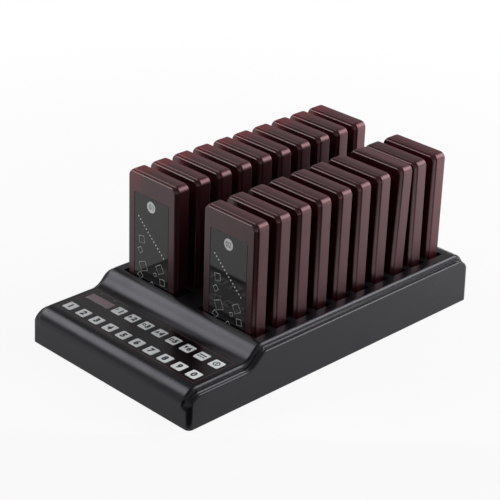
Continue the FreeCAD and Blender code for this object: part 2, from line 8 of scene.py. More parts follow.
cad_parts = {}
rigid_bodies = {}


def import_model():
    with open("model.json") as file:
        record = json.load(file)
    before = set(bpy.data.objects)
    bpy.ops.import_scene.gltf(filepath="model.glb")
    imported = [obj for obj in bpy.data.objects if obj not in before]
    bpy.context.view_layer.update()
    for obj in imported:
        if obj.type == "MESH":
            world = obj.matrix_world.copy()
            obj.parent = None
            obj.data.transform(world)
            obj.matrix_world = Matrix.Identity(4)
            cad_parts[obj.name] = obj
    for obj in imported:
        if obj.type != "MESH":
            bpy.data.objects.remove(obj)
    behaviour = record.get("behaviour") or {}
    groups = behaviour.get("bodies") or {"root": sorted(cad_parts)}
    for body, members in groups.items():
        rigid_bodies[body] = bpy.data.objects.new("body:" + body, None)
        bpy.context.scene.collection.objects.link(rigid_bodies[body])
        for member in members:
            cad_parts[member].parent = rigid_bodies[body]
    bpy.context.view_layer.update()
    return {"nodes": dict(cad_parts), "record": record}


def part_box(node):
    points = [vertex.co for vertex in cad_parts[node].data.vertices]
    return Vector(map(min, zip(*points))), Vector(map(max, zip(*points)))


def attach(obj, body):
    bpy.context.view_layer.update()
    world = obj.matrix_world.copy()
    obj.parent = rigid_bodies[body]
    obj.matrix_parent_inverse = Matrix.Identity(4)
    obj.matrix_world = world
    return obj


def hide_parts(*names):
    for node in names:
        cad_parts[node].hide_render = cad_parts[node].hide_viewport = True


print("loading the frame")
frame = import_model()
nodes = frame["nodes"]
members = frame["record"]["behaviour"]["bodies"]
scene = bpy.context.scene
scene.view_settings.view_transform = "Standard"
mm = 0.001


# node trees, written as Python expressions

def pick(sockets, name):
    if isinstance(name, int):
        return sockets[name]
    return next(s for s in sockets if name in (s.identifier, s.name))


class Wire:  # one output of a node; an operator adds a Math node behind it
    def __init__(self, tree, socket):
        self.tree = tree
        self.socket = socket

    def out(self, name):
        return Wire(self.tree, pick(self.socket.node.outputs, name))

    def __add__(self, other):
        return self.tree.math("ADD", self, other)

    def __sub__(self, other):
        return self.tree.math("SUBTRACT", self, other)

    def __rsub__(self, other):
        return self.tree.math("SUBTRACT", other, self)

    def __mul__(self, other):
        return self.tree.math("MULTIPLY", self, other)

    def __truediv__(self, other):
        return self.tree.math("DIVIDE", self, other)

    def __abs__(self):
        return self.tree.math("ABSOLUTE", self)

    __radd__ = __add__
    __rmul__ = __mul__


class Tree:
    def __init__(self, tree):
        self.tree = tree

    def node(self, kind, settings=None, sockets=None, out=0):  # a socket given None stays as it is
        made = self.tree.nodes.new(kind)
        for name, value in (settings or {}).items():
            setattr(made, name, value)
        for name, values in (sockets or {}).items():
            socket = pick(made.inputs, name)
            for value in values if isinstance(values, list) else [values]:
                if isinstance(value, Wire):
                    self.tree.links.new(value.socket, socket)
                elif value is not None:
                    socket.default_value = value
        return Wire(self, pick(made.outputs, out)) if made.outputs else None

    def math(self, operation, *values):
        return self.node("ShaderNodeMath", {"operation": operation}, dict(enumerate(values)))

    def vectorMath(self, operation, *values):
        names = ("Vector", "Scale") if operation == "SCALE" else range(len(values))
        return self.node("ShaderNodeVectorMath", {"operation": operation}, dict(zip(names, values)))

    def vector(self, x, y, z):
        return self.node("ShaderNodeCombineXYZ", None, {0: x, 1: y, 2: z})

    def ease(self, value, low, high, start=0.0, end=1.0):
        return self.node("ShaderNodeMapRange", {"interpolation_type": "SMOOTHSTEP"}, {
            "Value": value, "From Min": low, "From Max": high, "To Min": start, "To Max": end})

    def direct(self, rays):  # the rays that see the background itself, also through clear plastic
        return self.math("MAXIMUM", rays.out("Is Camera Ray"), rays.out("Is Transmission Ray"))


# materials

class Finish(Tree):
    def __init__(self, name):
        self.material = bpy.data.materials.new(name)
        self.material.use_nodes = True
        super().__init__(self.material.node_tree)
        self.tree.nodes.clear()
        self.place = self.node("ShaderNodeTexCoord", out="Object")
        self.x, self.y, self.z = (
            self.node("ShaderNodeSeparateXYZ", None, {0: self.place}, out=axis) for axis in range(3))

    def noise(self, scale, detail, rough=0.5, stretch=None):
        place = self.vectorMath("MULTIPLY", self.place, stretch) if stretch else self.place
        return self.node("ShaderNodeTexNoise", None, {
            "Vector": place, "Scale": scale, "Detail": detail, "Roughness": rough})

    def cells(self, scale):
        return self.node("ShaderNodeTexVoronoi", None, {"Vector": self.place, "Scale": scale}, out="Distance")

    def mix(self, factor, a, b):
        a, b = (c if isinstance(c, Wire) else (*c, 1.0) for c in (a, b))
        return self.node("ShaderNodeMix", {"data_type": "RGBA"}, {
            "Factor_Float": factor, "A_Color": a, "B_Color": b}, out="Result_Color")

    def done(self, colour, roughness, height, depth, fixed=None):
        bump = self.node("ShaderNodeBump", None, {"Height": height, "Distance": depth})
        shader = self.node("ShaderNodeBsdfPrincipled", None, {
            "Base Color": colour, "Roughness": roughness, "Normal": bump, **(fixed or {})})
        self.node("ShaderNodeOutputMaterial", None, {"Surface": shader})
        return self.material


print("materials")
cloudRange = (0.3, 0.7)
housingLook = {  # the noises are given by their scale, detail and roughness
    "colour": (0.0048, 0.0046, 0.0054), "worn": (0.0080, 0.0077, 0.0089), "dust": (0.16, 0.15, 0.14),
    "dustStrength": 0.6, "sheen": (0.92, 0.90, 1.0, 1.0), "roughness": 0.29, "undersideRoughness": 0.5,
    "grain": (1500.0, 3.0, 0.6), "flow": (14.0, 3.0, 0.55), "smudge": (38.0, 4.0, 0.6),
    "groups": (31.0, 1.0), "specks": 95.0, "wornRange": (0.35, 0.7), "smudgeRange": (0.45, 0.75),
    "groupRange": (0.60, 0.66), "speckRange": (0.05, 0.035), "flowRoughness": 0.10,
    "smudgeRoughness": 0.05, "speckRoughness": 0.25, "flowDepth": 0.5, "grainDepth": 0.03 * mm,
}


def makeHousingPlastic(name, roughness):
    look = housingLook
    f = Finish(name)
    grain = f.noise(*look["grain"])
    flow = f.noise(*look["flow"])
    smudge = f.ease(f.noise(*look["smudge"]), *look["smudgeRange"])
    groups = f.ease(f.noise(*look["groups"]), *look["groupRange"])
    specks = f.ease(f.cells(look["specks"]), *look["speckRange"]) * groups
    colour = f.mix(f.ease(flow, *look["wornRange"]), look["colour"], look["worn"])
    colour = f.mix(specks * look["dustStrength"], colour, look["dust"])
    rough = (roughness + (flow - 0.5) * look["flowRoughness"] + smudge * look["smudgeRoughness"]
             + specks * look["speckRoughness"])
    return f.done(colour, rough, grain + flow * look["flowDepth"], look["grainDepth"],
                  {"Specular Tint": look["sheen"]})


pagerPaintedGlow = {  # painted glow where daylight would shine through the smoked plastic; last is counted in pagers from the front
    "last": (8.5, 9.0), "lastColour": (0.042, 0.003, 0.006),
    "rear": (4.5 * mm, 12.5 * mm), "crown": (124.5 * mm, 126.8 * mm), "crownColour": (0.075, 0.022, 0.027),
    "left": (-45 * mm, -62 * mm), "upper": (100 * mm, 124 * mm), "leftColour": (0.12, 0.005, 0.011),
}
pagerGrain = {
    "cloud": (55.0, 3.0, 0.6), "grain": (1900.0, 2.0, 0.6), "streak": (60.0, 3.0, 0.55, (1.0, 1.0, 0.12)),
    "streakRoughness": 0.10, "grainRoughness": 0.06, "grainDepth": 0.02 * mm,
}
pagerPlastics = {  # a raised index and a tinted sheen stand for the red that the inner face mirrors
    "case": {"colour": (0.020, 0.0012, 0.0025), "deep": (0.012, 0.0008, 0.0015), "roughness": 0.40,
             "index": 1.85, "sheen": (1.0, 0.55, 0.60)},
    "front": {"colour": (0.030, 0.0015, 0.0032), "deep": (0.020, 0.0010, 0.0020), "roughness": 0.29,
              "index": 1.76, "sheen": (1.0, 0.78, 0.80)},
    "neck": {"colour": (0.030, 0.0008, 0.003), "deep": (0.015, 0.0004, 0.0015), "roughness": 0.45,
             "index": 1.5, "sheen": (1.0, 0.6, 0.6)},
}
firstPager, secondPager = (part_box(body)[0].y for body in ("pager_02", "pager_04"))
pagerPitch = secondPager - firstPager


def makePagerPlastic(name, colour, deep, roughness, index, sheen):
    glow, look = pagerPaintedGlow, pagerGrain
    f = Finish(name)
    cloud, grain, streak = (f.noise(*look[k]) for k in ("cloud", "grain", "streak"))
    row = (f.y - firstPager) / pagerPitch
    behindFace = f.math("FRACT", row) * pagerPitch
    tint = f.mix(f.ease(cloud, *cloudRange), deep, colour)
    # painted glow: the last pager of each row made redder, for daylight shining through it from behind
    tint = f.mix(f.ease(row, *glow["last"]), tint, glow["lastColour"])
    # painted light: the rear of each pager's top made lighter and pinker
    crown = f.ease(behindFace, *glow["rear"]) * f.ease(f.z, *glow["crown"])
    tint = f.mix(crown, tint, glow["crownColour"])
    # painted glow: the upper left of the left row's pagers made bright red
    left = f.ease(f.x, *glow["left"]) * f.ease(f.z, *glow["upper"])
    tint = f.mix(left, tint, glow["leftColour"])
    rough = roughness + (streak - 0.5) * look["streakRoughness"] + (grain - 0.5) * look["grainRoughness"]
    return f.done(tint, rough, grain, look["grainDepth"], {"IOR": index, "Specular Tint": (*sheen, 1.0)})


plainLook = {"cloud": (3.0, 0.55), "grain": (2.0, 0.5), "cloudRoughness": 0.12, "grainRoughness": 0.05}


def makePlain(name, colour, dark, roughness, cloudScale=120.0, grainScale=1600.0, grainDepth=0.02 * mm):
    look = plainLook
    f = Finish(name)
    cloud = f.noise(cloudScale, *look["cloud"])
    grain = f.noise(grainScale, *look["grain"])
    rough = roughness + (cloud - 0.5) * look["cloudRoughness"] + (grain - 0.5) * look["grainRoughness"]
    return f.done(f.mix(f.ease(cloud, *cloudRange), dark, colour), rough, grain, grainDepth)


windowLook = {
    "colour": (0.0035, 0.0032, 0.0035), "dust": (0.05, 0.05, 0.05), "roughness": 0.045, "index": 1.58,
    "wipe": (70.0, 3.0, 0.5, (1.0, 1.0, 0.25)), "wipeRange": (0.45, 0.8), "wipeRoughness": 0.05,
    "wipeDepth": 0.004 * mm, "groups": (90.0, 2.0, 0.5), "groupRange": (0.56, 0.66), "specks": 420.0,
    "speckRange": (0.10, 0.04), "dustRoughness": 0.3,
}


def makeWindowFinish():  # black glossy film behind a clear face
    look = windowLook
    f = Finish("windowPanel")
    wipe = f.noise(*look["wipe"])
    groups = f.ease(f.noise(*look["groups"]), *look["groupRange"])
    dust = f.ease(f.cells(look["specks"]), *look["speckRange"]) * groups
    rough = (look["roughness"] + f.ease(wipe, *look["wipeRange"]) * look["wipeRoughness"]
             + dust * look["dustRoughness"])
    return f.done(f.mix(dust, look["colour"], look["dust"]), rough, wipe, look["wipeDepth"],
                  {"IOR": look["index"]})


overlayLook = {
    "colour": (0.0036, 0.0028, 0.0031), "roughness": 0.20, "index": 1.52, "weave": (2600.0, 2.0, 0.6),
    "weaveDepth": 0.004 * mm, "cloud": (60.0, 3.0, 0.6), "cloudRoughness": 0.10,
    "border": (0.16, 0.085, 0.085), "borderInset": 0.55 * mm, "borderWidth": 0.26 * mm,
    "borderWear": (0.25, 0.6, 0.45),  # where the printed line is thin, and what is left of it there
}


def makeOverlayFilm(low, high):  # with a thin printed line that runs round it
    look = overlayLook
    f = Finish("overlayFilm")
    centre, half = (low + high) / 2, (high - low) / 2
    toEdge = f.math("MINIMUM", half.x - abs(f.x - centre.x), half.y - abs(f.y - centre.y))
    border = f.ease(abs(toEdge - look["borderInset"]), look["borderWidth"], look["borderWidth"] * 0.5)
    weave, cloud = f.noise(*look["weave"]), f.noise(*look["cloud"])
    colour = f.mix(border * f.ease(cloud, *look["borderWear"]), look["colour"], look["border"])
    rough = look["roughness"] + (cloud - 0.5) * look["cloudRoughness"]
    return f.done(colour, rough, weave, look["weaveDepth"], {"IOR": look["index"]})


boardLook = {"colour": (0.008, 0.075, 0.028), "track": (0.018, 0.13, 0.05), "roughness": 0.38,
             "trackRoughness": 0.12, "trackDepth": 0.03 * mm, "trackRange": (0.62, 0.7),
             "lanes": {"Scale": 160.0, "Distortion": 6.0, "Detail": 1.0}}


def makeCircuitBoard():
    look = boardLook
    f = Finish("circuitBoard")
    lanes = f.node("ShaderNodeTexWave", {"bands_direction": "DIAGONAL"}, {
        "Vector": f.place, **look["lanes"]}, out="Fac")
    track = f.ease(lanes, *look["trackRange"])
    return f.done(f.mix(track, look["colour"], look["track"]),
                  look["roughness"] + track * look["trackRoughness"], track, look["trackDepth"])


metalLook = {"brushed": (900.0, 2.0, 0.6, (1.0, 0.15, 1.0)), "cloud": (150.0, 3.0, 0.5),
             "brushRoughness": 0.18, "brushDepth": 0.01 * mm}


def makeMetal(name, colour, dark, roughness):
    look = metalLook
    f = Finish(name)
    brushed, cloud = f.noise(*look["brushed"]), f.noise(*look["cloud"])
    rough = roughness + (brushed - 0.5) * look["brushRoughness"]
    return f.done(f.mix(f.ease(cloud, *cloudRange), dark, colour), rough, brushed, look["brushDepth"],
                  {"Metallic": 1.0})


overlayLow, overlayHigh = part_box("keypad_overlay")
finish = {
    "housing": makeHousingPlastic("housingPlastic", housingLook["roughness"]),
    "underside": makeHousingPlastic("undersidePlastic", housingLook["undersideRoughness"]),
    "overlay": makeOverlayFilm(overlayLow, overlayHigh),
    "lens": makePlain("displayLens", (0.27, 0.19, 0.205), (0.23, 0.16, 0.175), 0.16,
                      cloudScale=60.0, grainScale=900.0, grainDepth=0.006 * mm),
    "block": makePlain("displayBlock", (0.03, 0.03, 0.03), (0.02, 0.02, 0.02), 0.5),
    "board": makeCircuitBoard(),
    "switch": makePlain("switchBody", (0.03, 0.03, 0.032), (0.02, 0.02, 0.02), 0.45),
    "lampGuide": makePlain("lampGuide", (0.045, 0.035, 0.035), (0.03, 0.022, 0.022), 0.22),
    "contact": makeMetal("contactMetal", (0.80, 0.58, 0.26), (0.70, 0.48, 0.20), 0.28),
    "steel": makeMetal("screwSteel", (0.55, 0.55, 0.56), (0.42, 0.42, 0.43), 0.32),
    "inlet": makePlain("inletPlastic", (0.018, 0.018, 0.019), (0.010, 0.010, 0.011), 0.33),
    "rubber": makePlain("footRubber", (0.024, 0.023, 0.022), (0.012, 0.012, 0.012), 0.80,
                        cloudScale=300.0, grainScale=2200.0, grainDepth=0.06 * mm),
    "key": makePlain("keyPlastic", (0.87, 0.89, 0.90), (0.81, 0.835, 0.85), 0.40,
                     cloudScale=260.0, grainScale=2400.0, grainDepth=0.012 * mm),
    "legend": makePlain("legendInk", (0.014, 0.015, 0.018), (0.008, 0.009, 0.011), 0.45, cloudScale=500.0),
    "indicator": makePlain("indicatorInk", (0.42, 0.40, 0.41), (0.33, 0.31, 0.32), 0.35, cloudScale=500.0),
    "case": makePagerPlastic("pagerCase", **pagerPlastics["case"]),
    "front": makePagerPlastic("pagerFront", **pagerPlastics["front"]),
    "neck": makePagerPlastic("pagerNeck", **pagerPlastics["neck"]),
    "window": makeWindowFinish(),
    "print": makePlain("windowPrint", (0.86, 0.865, 0.87), (0.78, 0.79, 0.80), 0.42, cloudScale=500.0),
    "number": makePlain("numberInk", (0.20, 0.20, 0.21), (0.15, 0.15, 0.16), 0.45, cloudScale=500.0),
    "battery": makePlain("batteryWrap", (0.10, 0.16, 0.30), (0.07, 0.11, 0.22), 0.32),
    "lamp": makePlain("signalLamp", (0.55, 0.05, 0.04), (0.40, 0.03, 0.03), 0.25),
    "motor": makeMetal("motorMetal", (0.62, 0.62, 0.63), (0.50, 0.50, 0.52), 0.30),
}


# shapes from Geometry Nodes trees

roundSteps = 5     # flats in a quarter of a rounded corner
edgeSteps = 4      # flats across a rounded edge
filletSteps = 6    # points in a rounded corner of an outline
sharpAngle = 32.0  # degrees, past which an edge isn't shaded smooth
mergeGap = 0.0004 * mm


class Shape(Tree):  # its sizes become the named inputs of the tree
    def __init__(self, name, sizes):
        self.name = name
        super().__init__(bpy.data.node_groups.new(name, "GeometryNodeTree"))
        self.tree.interface.new_socket("Shape", in_out="OUTPUT", socket_type="NodeSocketGeometry")
        self.ids = {}
        for size, value in sizes.items():
            kind = {float: "Float", int: "Int", Vector: "Vector", bpy.types.Material: "Material"}[type(value)]
            socket = self.tree.interface.new_socket(size, in_out="INPUT", socket_type="NodeSocket" + kind)
            self.ids[size] = socket.identifier
        self.sizes = dict(sizes)
        self.inputs = self.node("NodeGroupInput")

    def __getitem__(self, size):
        return self.inputs.out(size)

    def geometry(self, kind, settings=None, sockets=None, out=0):
        return self.node("GeometryNode" + kind, settings, sockets, out)

    def rectangle(self, width, height, corner=None):
        outline = self.geometry("CurvePrimitiveQuadrilateral", {"mode": "RECTANGLE"}, {
            "Width": width, "Height": height})
        if corner is None:
            return outline
        return self.geometry("FilletCurve", {"mode": "POLY"}, {
            "Curve": outline, "Count": filletSteps, "Radius": corner})

    def disc(self, corners, diameter, thickness):
        return self.geometry("MeshCylinder", {"fill_type": "NGON"}, {
            "Vertices": corners, "Radius": diameter * 0.5, "Depth": thickness})

    def line(self, count, start, step):
        return self.geometry("MeshLine", {"mode": "OFFSET"}, {
            "Count": count, "Start Location": start, "Offset": step})

    def copies(self, points, shape):
        return self.geometry("InstanceOnPoints", None, {"Points": points, "Instance": shape})

    def moved(self, shape, by, turn=None):
        return self.geometry("Transform", None, {"Geometry": shape, "Translation": by, "Rotation": turn})

    def join(self, *shapes):
        return self.geometry("JoinGeometry", None, {0: list(shapes)})

    def realize(self, shape):
        return self.geometry("RealizeInstances", None, {0: shape})

    def extrude(self, shape, by, selection=None):
        return self.geometry("ExtrudeMesh", {"mode": "FACES"}, {
            "Mesh": shape, "Selection": selection, "Offset Scale": by, "Individual": False})

    def seal(self, shape, start, gap=mergeGap):  # closed with the face that it was extruded from
        shape = self.join(shape, self.geometry("FlipFaces", None, {"Mesh": start}))
        return self.geometry("MergeByDistance", None, {"Geometry": shape, "Distance": gap})

    def rings(self, rings):  # a closed solid through rounded rectangles, from its lower face to its upper one
        corners = roundSteps + 1
        index = self.geometry("InputIndex")
        quarter = self.math("FLOOR", index / float(corners) + 0.001)  # so that no whole number falls short
        turn = (quarter + (index - quarter * float(corners)) / roundSteps) * (math.pi / 2)
        diagonal = (quarter + 0.5) * (math.pi / 2)
        directions = {
            "swing": self.vector(self.math("COSINE", turn), self.math("SINE", turn), 0.0),
            "corner": self.vector(self.math("SIGN", self.math("COSINE", diagonal)),
                                  self.math("SIGN", self.math("SINE", diagonal)), 0.0),
        }
        shape = self.geometry("MeshCircle", {"fill_type": "NGON"}, {"Vertices": 4 * corners, "Radius": 1.0})
        for name, value in directions.items():
            shape = self.geometry("StoreNamedAttribute", {"data_type": "FLOAT_VECTOR", "domain": "POINT"}, {
                "Geometry": shape, "Name": name, "Value": value})
        swing, corner = (self.geometry("InputNamedAttribute", {"data_type": "FLOAT_VECTOR"}, {"Name": name})
                         for name in directions)
        sides, top, start = [], None, None
        for width, height, radius, depth, middle in rings:
            if start:
                shape = self.extrude(shape, 0.0, top)
                top = shape.out("Top")
                sides.append(shape.out("Side"))
            half = self.vector(width * 0.5 - radius, height * 0.5 - radius, 0.0)
            place = self.vectorMath("ADD", self.vectorMath("MULTIPLY", corner, half),
                                    self.vectorMath("SCALE", swing, radius))
            place = self.vectorMath("ADD", place, self.vector(0.0, middle, depth))
            shape = self.geometry("SetPosition", None, {
                "Geometry": shape, "Selection": top, "Position": place})
            start = start or shape
        return self.seal(shape, start), sides, top

    def paint(self, shape, material, selection=None):
        return self.geometry("SetMaterial", None, {
            "Geometry": shape, "Material": material, "Selection": selection})

    def close(self, shape, material=None):
        shape = self.realize(shape)
        if material:
            shape = self.paint(shape, material)
        self.node("NodeGroupOutput", None, {0: shape})

    def make(self, name, **values):  # a plain mesh object, with the modifier gone
        piece = bpy.data.objects.new(name, bpy.data.meshes.new(name))
        scene.collection.objects.link(piece)
        modifier = piece.modifiers.new(self.name, "NODES")
        modifier.node_group = self.tree
        for size, value in {**self.sizes, **values}.items():
            modifier[self.ids[size]] = value
        return plain(piece)


def plain(piece):
    depsgraph = bpy.context.evaluated_depsgraph_get()
    mesh = bpy.data.meshes.new_from_object(piece.evaluated_get(depsgraph), depsgraph=depsgraph)
    piece.modifiers.clear()
    piece.data = mesh
    mesh.name = piece.name
    return piece


def rounding(width, height, radius, depth, edge, rising, middle=0.0):  # the rings of a rounded edge
    rings = []
    for k in range(edgeSteps + 1):
        a = math.pi / 2 * k / edgeSteps
        inset = edge * ((1 - math.sin(a)) if rising else (1 - math.cos(a)))
        rise = edge * ((1 - math.cos(a)) if rising else (math.sin(a) - 1))
        rings.append((width - inset * 2, height - inset * 2, radius - inset, depth + rise, middle))
    return rings


def smooth(piece):
    piece.data.shade_smooth()
    piece.data.set_sharp_from_angle(angle=math.radians(sharpAngle))
    weighted = piece.modifiers.new("weighted", "WEIGHTED_NORMAL")
    weighted.keep_sharp = True
    plain(piece)
    for name in ("swing", "corner"):
        if name in piece.data.attributes:
            piece.data.attributes.remove(piece.data.attributes[name])
    return piece


def settle(piece, body, slot, *stoodFor):
    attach(piece, body)
    if stoodFor:
        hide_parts(*stoodFor)
    return piece


def place(piece, matrix):
    piece.data.transform(matrix)
    return piece


def footOf(low, high):  # the middle of a box's lower face
    return Vector(((low.x + high.x) / 2, (low.y + high.y) / 2, low.z))


# a rounded plate, lying flat with its lower face at the origin; each piece made from it sets its sizes
plate = Shape("roundedPlate", {"Width": 10 * mm, "Height": 10 * mm, "Corner": 1 * mm, "Depth": 1 * mm,
                               "Edge": 0.2 * mm, "Finish": finish["key"]})
plateOutline = (plate["Width"], plate["Height"], plate["Corner"])
plateShape, *_ = plate.rings(rounding(*plateOutline, 0.0, plate["Edge"], True)
                             + rounding(*plateOutline, plate["Depth"], plate["Edge"], False))
plate.close(plateShape, plate["Finish"])


# base

copyLimits = {"merge": 0.002 * mm, "flat": math.radians(0.4), "sharp": 0.7, "nearRim": 0.03 * mm,
              "rimFlats": 2}  # the angles are in radians


def solidCopy(node, name, material, rims=()):  # a merged copy of a CAD node, with its rims rounded
    piece = bpy.data.objects.new(name, nodes[node].data.copy())
    scene.collection.objects.link(piece)
    work = bmesh.new()
    work.from_mesh(piece.data)
    bmesh.ops.remove_doubles(work, verts=work.verts, dist=copyLimits["merge"])
    bmesh.ops.dissolve_limit(work, angle_limit=copyLimits["flat"], verts=work.verts, edges=work.edges)
    for height, size in rims:
        edges = [e for e in work.edges
                 if len(e.link_faces) == 2 and e.calc_face_angle() > copyLimits["sharp"]
                 and all(abs(v.co.z - height) < copyLimits["nearRim"] for v in e.verts)]
        bmesh.ops.bevel(work, geom=edges, offset=size, segments=copyLimits["rimFlats"], profile=0.5,
                        affect="EDGES", clamp_overlap=True)
    work.to_mesh(piece.data)
    work.free()
    piece.data.materials.clear()
    piece.data.materials.append(material)
    return smooth(piece)


print("base")
housingRims = [(41.0 * mm, 0.30 * mm), (30.3 * mm, 0.12 * mm)]  # slot deck, key deck: height and radius
settle(solidCopy("top_housing", "baseHousing", finish["housing"], housingRims),
       "base", "housing_plastic", "top_housing")
settle(solidCopy("bottom_cover", "baseCover", finish["underside"]), "base", "housing_plastic", "bottom_cover")
settle(solidCopy("housing_screws", "caseScrews", finish["steel"]), "base", "screw_steel", "housing_screws")
settle(solidCopy("power_inlet", "powerSocket", finish["inlet"]), "base", "inlet_plastic", "power_inlet")

footSize = {"Width": 12 * mm, "Length": 20 * mm, "Corner": 2 * mm, "Edge": 0.5 * mm}
footLow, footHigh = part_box("rubber_feet")
feet = Shape("feet", {
    **footSize, "Height": footHigh.z - footLow.z, "Spread X": footHigh.x - footLow.x - footSize["Width"],
    "Spread Y": footHigh.y - footLow.y - footSize["Length"], "Finish": finish["rubber"]})
footOutline = (feet["Width"], feet["Length"], feet["Corner"])
footShape, *_ = feet.rings([*rounding(*footOutline, 0.0, feet["Edge"], True),
                            (*footOutline, feet["Height"], 0.0)])
footPoints = feet.geometry("MeshGrid", None, {
    "Size X": feet["Spread X"], "Size Y": feet["Spread Y"], "Vertices X": 2, "Vertices Y": 2})
feet.close(feet.copies(footPoints, footShape), feet["Finish"])
piece = place(feet.make("rubberFeet"), Matrix.Translation(footOf(footLow, footHigh)))
settle(smooth(piece), "base", "foot_rubber", "rubber_feet")

lensSize = {"Corner": 0.6 * mm, "Edge": 0.15 * mm}
lensLow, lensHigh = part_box("display_window")
lensWidth, lensLength, lensDepth = lensHigh - lensLow
piece = plate.make("displayLens", Width=lensWidth, Height=lensLength, Depth=lensDepth,
                   Finish=finish["lens"], **lensSize)
place(piece, Matrix.Translation(footOf(lensLow, lensHigh)))
settle(smooth(piece), "base", "display_lens", "display_window")


# keypad

print("keypad")
keySize = {
    "Cap": 9.6 * mm, "Cap Corner": 0.9 * mm, "Cap Edge": 0.22 * mm, "Flange": 11.4 * mm,
    "Flange Corner": 0.9 * mm, "Flange Top": 3.4 * mm, "Stem": 3.0 * mm, "Stem Corner": 0.3 * mm,
    "Stem Top": 2.4 * mm,
}
keyBodies = sorted(b for b in members if "_key_" in b)

cap = Shape("keyCap", {**keySize, "Height": 4 * mm, "Finish": finish["key"]})  # each key sets its height
stem = (cap["Stem"], cap["Stem"], cap["Stem Corner"])
flange = (cap["Flange"], cap["Flange"], cap["Flange Corner"])
button = (cap["Cap"], cap["Cap"], cap["Cap Corner"])
capShape, *_ = cap.rings([
    (*stem, 0.0, 0.0), (*stem, cap["Stem Top"], 0.0),
    (*flange, cap["Stem Top"], 0.0), (*flange, cap["Flange Top"], 0.0),
    (*button, cap["Flange Top"], 0.0), *rounding(*button, cap["Height"], cap["Cap Edge"], False)])
cap.close(capShape, cap["Finish"])

overlaySize = {"Corner": 1.2 * mm, "Key Window": 10.1 * mm, "Window Corner": 1.0 * mm, "Pitch": 15 * mm,
               "Number Keys": 10, "Function Keys": 8}
overlayLimits = {"merge": 0.001 * mm, "aroundDisplay": 0.3 * mm}  # the second is the play round the lens
overlayFoot = footOf(overlayLow, overlayHigh)
overlayWidth, overlayLength, overlayDepth = overlayHigh - overlayLow


def firstOnSheet(*names):  # the leftmost of some bodies or nodes, from the middle of the sheet
    centres = [sum(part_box(name), Vector()) / 2 for name in names]
    across = min(centres, key=lambda centre: centre.x) - overlayFoot
    return Vector((across.x, across.y, 0.0))


sheet = Shape("overlaySheet", {
    **overlaySize, "Width": overlayWidth, "Depth": overlayLength, "Thickness": overlayDepth,
    "Number Row": firstOnSheet(*[b for b in keyBodies if b.startswith("number")]),
    "Function Row": firstOnSheet(*[b for b in keyBodies if b.startswith("function")]),
    "Display Place": firstOnSheet("display_window"),
    "Display Width": lensWidth + overlayLimits["aroundDisplay"],
    "Display Depth": lensLength + overlayLimits["aroundDisplay"], "Finish": finish["overlay"]})
keyWindow = sheet.rectangle(sheet["Key Window"], sheet["Key Window"], sheet["Window Corner"])
keyStep = sheet.vector(sheet["Pitch"], 0.0, 0.0)
displayOpening = sheet.rectangle(sheet["Display Width"], sheet["Display Depth"], sheet["Window Corner"] * 0.5)
outlines = [sheet.rectangle(sheet["Width"], sheet["Depth"], sheet["Corner"]),
            sheet.moved(displayOpening, sheet["Display Place"])]
for row, count in (("Number Row", "Number Keys"), ("Function Row", "Function Keys")):
    outlines.append(sheet.realize(sheet.copies(sheet.line(sheet[count], sheet[row], keyStep), keyWindow)))
flat = sheet.geometry("FillCurve", {"mode": "TRIANGLES"}, {"Curve": sheet.join(*outlines)})
thick = sheet.extrude(flat, sheet["Thickness"])
sheet.close(sheet.seal(thick, flat, overlayLimits["merge"]), sheet["Finish"])
piece = place(sheet.make("keypadOverlay"), Matrix.Translation(overlayFoot))
settle(smooth(piece), "base", "overlay_film", "keypad_overlay")

inkDepth = 0.02 * mm
letterSteps = 4    # flats in a curve of a letter
circleSteps = 28   # flats in a drawn circle


def flatMark(name, outlines, matrix, material):  # closed outlines in mm; an inner one is a hole
    curve = bpy.data.curves.new(name, "CURVE")
    curve.dimensions = "2D"
    curve.fill_mode = "BOTH"
    for outline in outlines:
        spline = curve.splines.new("POLY")
        spline.points.add(len(outline) - 1)
        for point, (x, y) in zip(spline.points, outline):
            point.co = (x * mm, y * mm, 0.0, 1.0)
        spline.use_cyclic_u = True
    return inked(name, curve, matrix, material, False)


def wordMark(name, words, size, weight, matrix, material):
    curve = bpy.data.curves.new(name, "FONT")
    curve.body = words
    curve.size = size
    curve.offset = weight
    curve.resolution_u = letterSteps
    return inked(name, curve, matrix, material)


def inked(name, curve, matrix, material, centred=True):  # the curve as a mesh, at the matrix's origin
    curve.extrude = inkDepth / 2
    holder = bpy.data.objects.new(name + "Curve", curve)
    scene.collection.objects.link(holder)
    bpy.context.view_layer.update()
    mesh = bpy.data.meshes.new_from_object(holder.evaluated_get(bpy.context.evaluated_depsgraph_get()))
    bpy.data.objects.remove(holder)
    corners = [v.co for v in mesh.vertices]
    middle = Vector([(min(c[k] for c in corners) + max(c[k] for c in corners)) / 2 for k in range(3)])
    mesh.transform(matrix @ Matrix.Translation(-middle if centred else Vector()))
    mesh.materials.clear()
    mesh.materials.append(material)
    piece = bpy.data.objects.new(name, mesh)
    scene.collection.objects.link(piece)
    return piece


def circle(radius, x=0.0, y=0.0):
    turns = [2 * math.pi * k / circleSteps for k in range(circleSteps)]
    return [(x + radius * math.cos(a), y + radius * math.sin(a)) for a in turns]


def block(x0, y0, x1, y1):
    return [(x0, y0), (x1, y0), (x1, y1), (x0, y1)]


